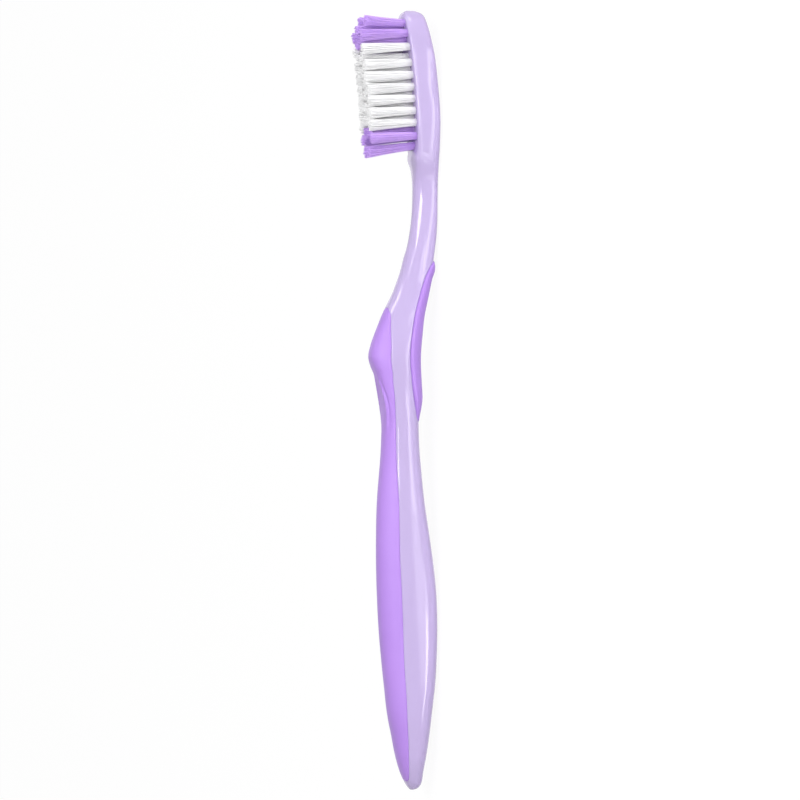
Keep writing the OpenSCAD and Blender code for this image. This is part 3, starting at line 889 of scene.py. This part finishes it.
build_body()
build_soft("soft_front_grip", "front_grip", GRIP_RECESS, is_front=True,
           rise=lambda section, angle, run: crease_rise(section, angle))
build_soft("soft_thumb_pad", "thumb_pad", PAD_RECESS, is_front=False,
           rise=lambda section, angle, run: pad_rise(section, run))
for tuft in tuft_list():
    build_tuft(*tuft)

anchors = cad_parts["tuft_anchors"]
anchors.data.materials.clear()
anchors.data.materials.append(BRASS)


# Camera
def aim(thing, right, up, ahead):
    """Turns a camera or a lamp by three directions of its own."""
    thing.rotation_mode = "QUATERNION"
    thing.rotation_quaternion = Matrix((right, up, -ahead)).transposed().to_quaternion()


def turned(right, up, angle):
    """Two directions at right angles, turned in their plane by an angle in radians."""
    c, s = math.cos(angle), math.sin(angle)
    return right * c + up * s, up * c - right * s


def photo_camera():
    """A long lens that looks along +Y and a little down, with the toe of the head upwards."""
    elevation = math.radians(CAMERA_ELEVATION)
    ahead = Vector((0, math.cos(elevation), -math.sin(elevation)))
    up = Vector((1, 0, 0))
    right = ahead.cross(up)
    field = PHOTO_SIZE / PHOTO_PX_PER_MM
    distance = field / CAMERA_SENSOR * CAMERA_LENS + NEARNESS
    middle = PHOTO_SIZE / 2
    # The photograph's middle, as a place along the X axis and an offset to the right of it
    along = (PHOTO_BUTT_Y - middle) / PHOTO_PX_PER_MM - BRUSH_LEN / 2
    offset = (middle - PHOTO_AXIS_X - CAMERA_ROLL * (PHOTO_AXIS_Y - middle)) / PHOTO_PX_PER_MM
    target = up * along + right * offset
    data = bpy.data.cameras.new("photo_camera")
    data.lens = CAMERA_LENS
    data.sensor_width = CAMERA_SENSOR
    data.clip_start, data.clip_end = CAMERA_CLIP_M
    camera = bpy.data.objects.new("photo_camera", data)
    bpy.context.scene.collection.objects.link(camera)
    aim(camera, *turned(right, up, CAMERA_ROLL), ahead)
    camera.location = (target - ahead * distance) * MM
    bpy.context.scene.camera = camera


photo_camera()


# Floor, world and lamps
def seen_rays(tree):
    """1 for camera, glossy and transmission rays, and 0 for the rays that light the object."""
    path = tree.nodes.new("ShaderNodeLightPath")
    total = path.outputs["Is Camera Ray"]
    for name in ("Is Glossy Ray", "Is Transmission Ray"):
        top = tree.nodes.new("ShaderNodeMath")
        top.operation = "MAXIMUM"
        tree.links.new(total, top.inputs[0])
        tree.links.new(path.outputs[name], top.inputs[1])
        total = top.outputs[0]
    return total


def by_ray(tree, lighting, seen):
    """One number for the rays that light the object, and another for those that see or mirror."""
    level = tree.nodes.new("ShaderNodeMapRange")
    level.inputs["To Min"].default_value = lighting
    level.inputs["To Max"].default_value = seen
    tree.links.new(seen_rays(tree), level.inputs["Value"])
    return level.outputs["Result"]


def white_floor():
    """A pale floor that throws light back up like white board and keeps the brush's faint shadow."""
    bpy.ops.mesh.primitive_plane_add(size=FLOOR_SIDE_M, location=(0, 0, -FLOOR_DROP * MM))
    floor = bpy.context.object
    floor.name = "floor"
    material, tree, shader = new_material("pale_floor")
    shader.inputs["Roughness"].default_value = 1.0
    shader.inputs["Specular IOR Level"].default_value = 0.0
    shader.inputs["Emission Color"].default_value = WHITE
    shade = by_ray(tree, FLOOR_LIGHTING_SHADE, FLOOR_SEEN_SHADE)
    tree.links.new(shade, shader.inputs["Base Color"])
    tree.links.new(by_ray(tree, 0.0, FLOOR_GLOW), shader.inputs["Emission Strength"])
    floor.data.materials.append(material)


def soft_world():
    """A white surround that lights the brush evenly."""
    world = bpy.data.worlds.new("soft_world")
    bpy.context.scene.world = world
    world.use_nodes = True
    tree = world.node_tree
    back = tree.nodes["Background"]
    back.inputs["Color"].default_value = WHITE
    tree.links.new(by_ray(tree, WORLD_LEVEL, 1.0), back.inputs["Strength"])


def softbox(name, x, elevation, distance, size, brightness, turn=0.0, shape="RECTANGLE"):
    """A soft lamp that faces the middle of the brush, from a place along it, an angle above the
    floor on the camera's side and a distance from its long axis. A turned lamp is turned about
    its own middle."""
    e = math.radians(elevation)
    place = Vector((x, -distance * math.cos(e), distance * math.sin(e)))
    data = bpy.data.lights.new(name, "AREA")
    data.shape = shape
    data.size, data.size_y = size
    area = size[0] * size[1] * (math.pi / 4 if shape == "ELLIPSE" else 1)
    data.energy = brightness * math.pi * area
    lamp = bpy.data.objects.new(name, data)
    bpy.context.scene.collection.objects.link(lamp)
    lamp.location = place
    ahead = -place.normalized()
    along = Vector((1, 0, 0))
    right = (along - ahead * along.dot(ahead)).normalized()
    aim(lamp, *turned(right, right.cross(ahead), math.radians(turn)), ahead)


def strip(name, places, elevations, distance, brightness):
    """A soft lamp between two places along the brush and two angles above the floor."""
    (start, stop), (low, high) = places, elevations
    size = (stop - start, math.radians(high - low) * distance)
    softbox(name, (start + stop) / 2, (low + high) / 2, distance, size, brightness)


white_floor()
soft_world()
for lamp in STRIPS:
    strip(*lamp)
for lamp in SOFTBOXES:
    softbox(*lamp)

scene = bpy.context.scene
scene.view_settings.view_transform = "Standard"
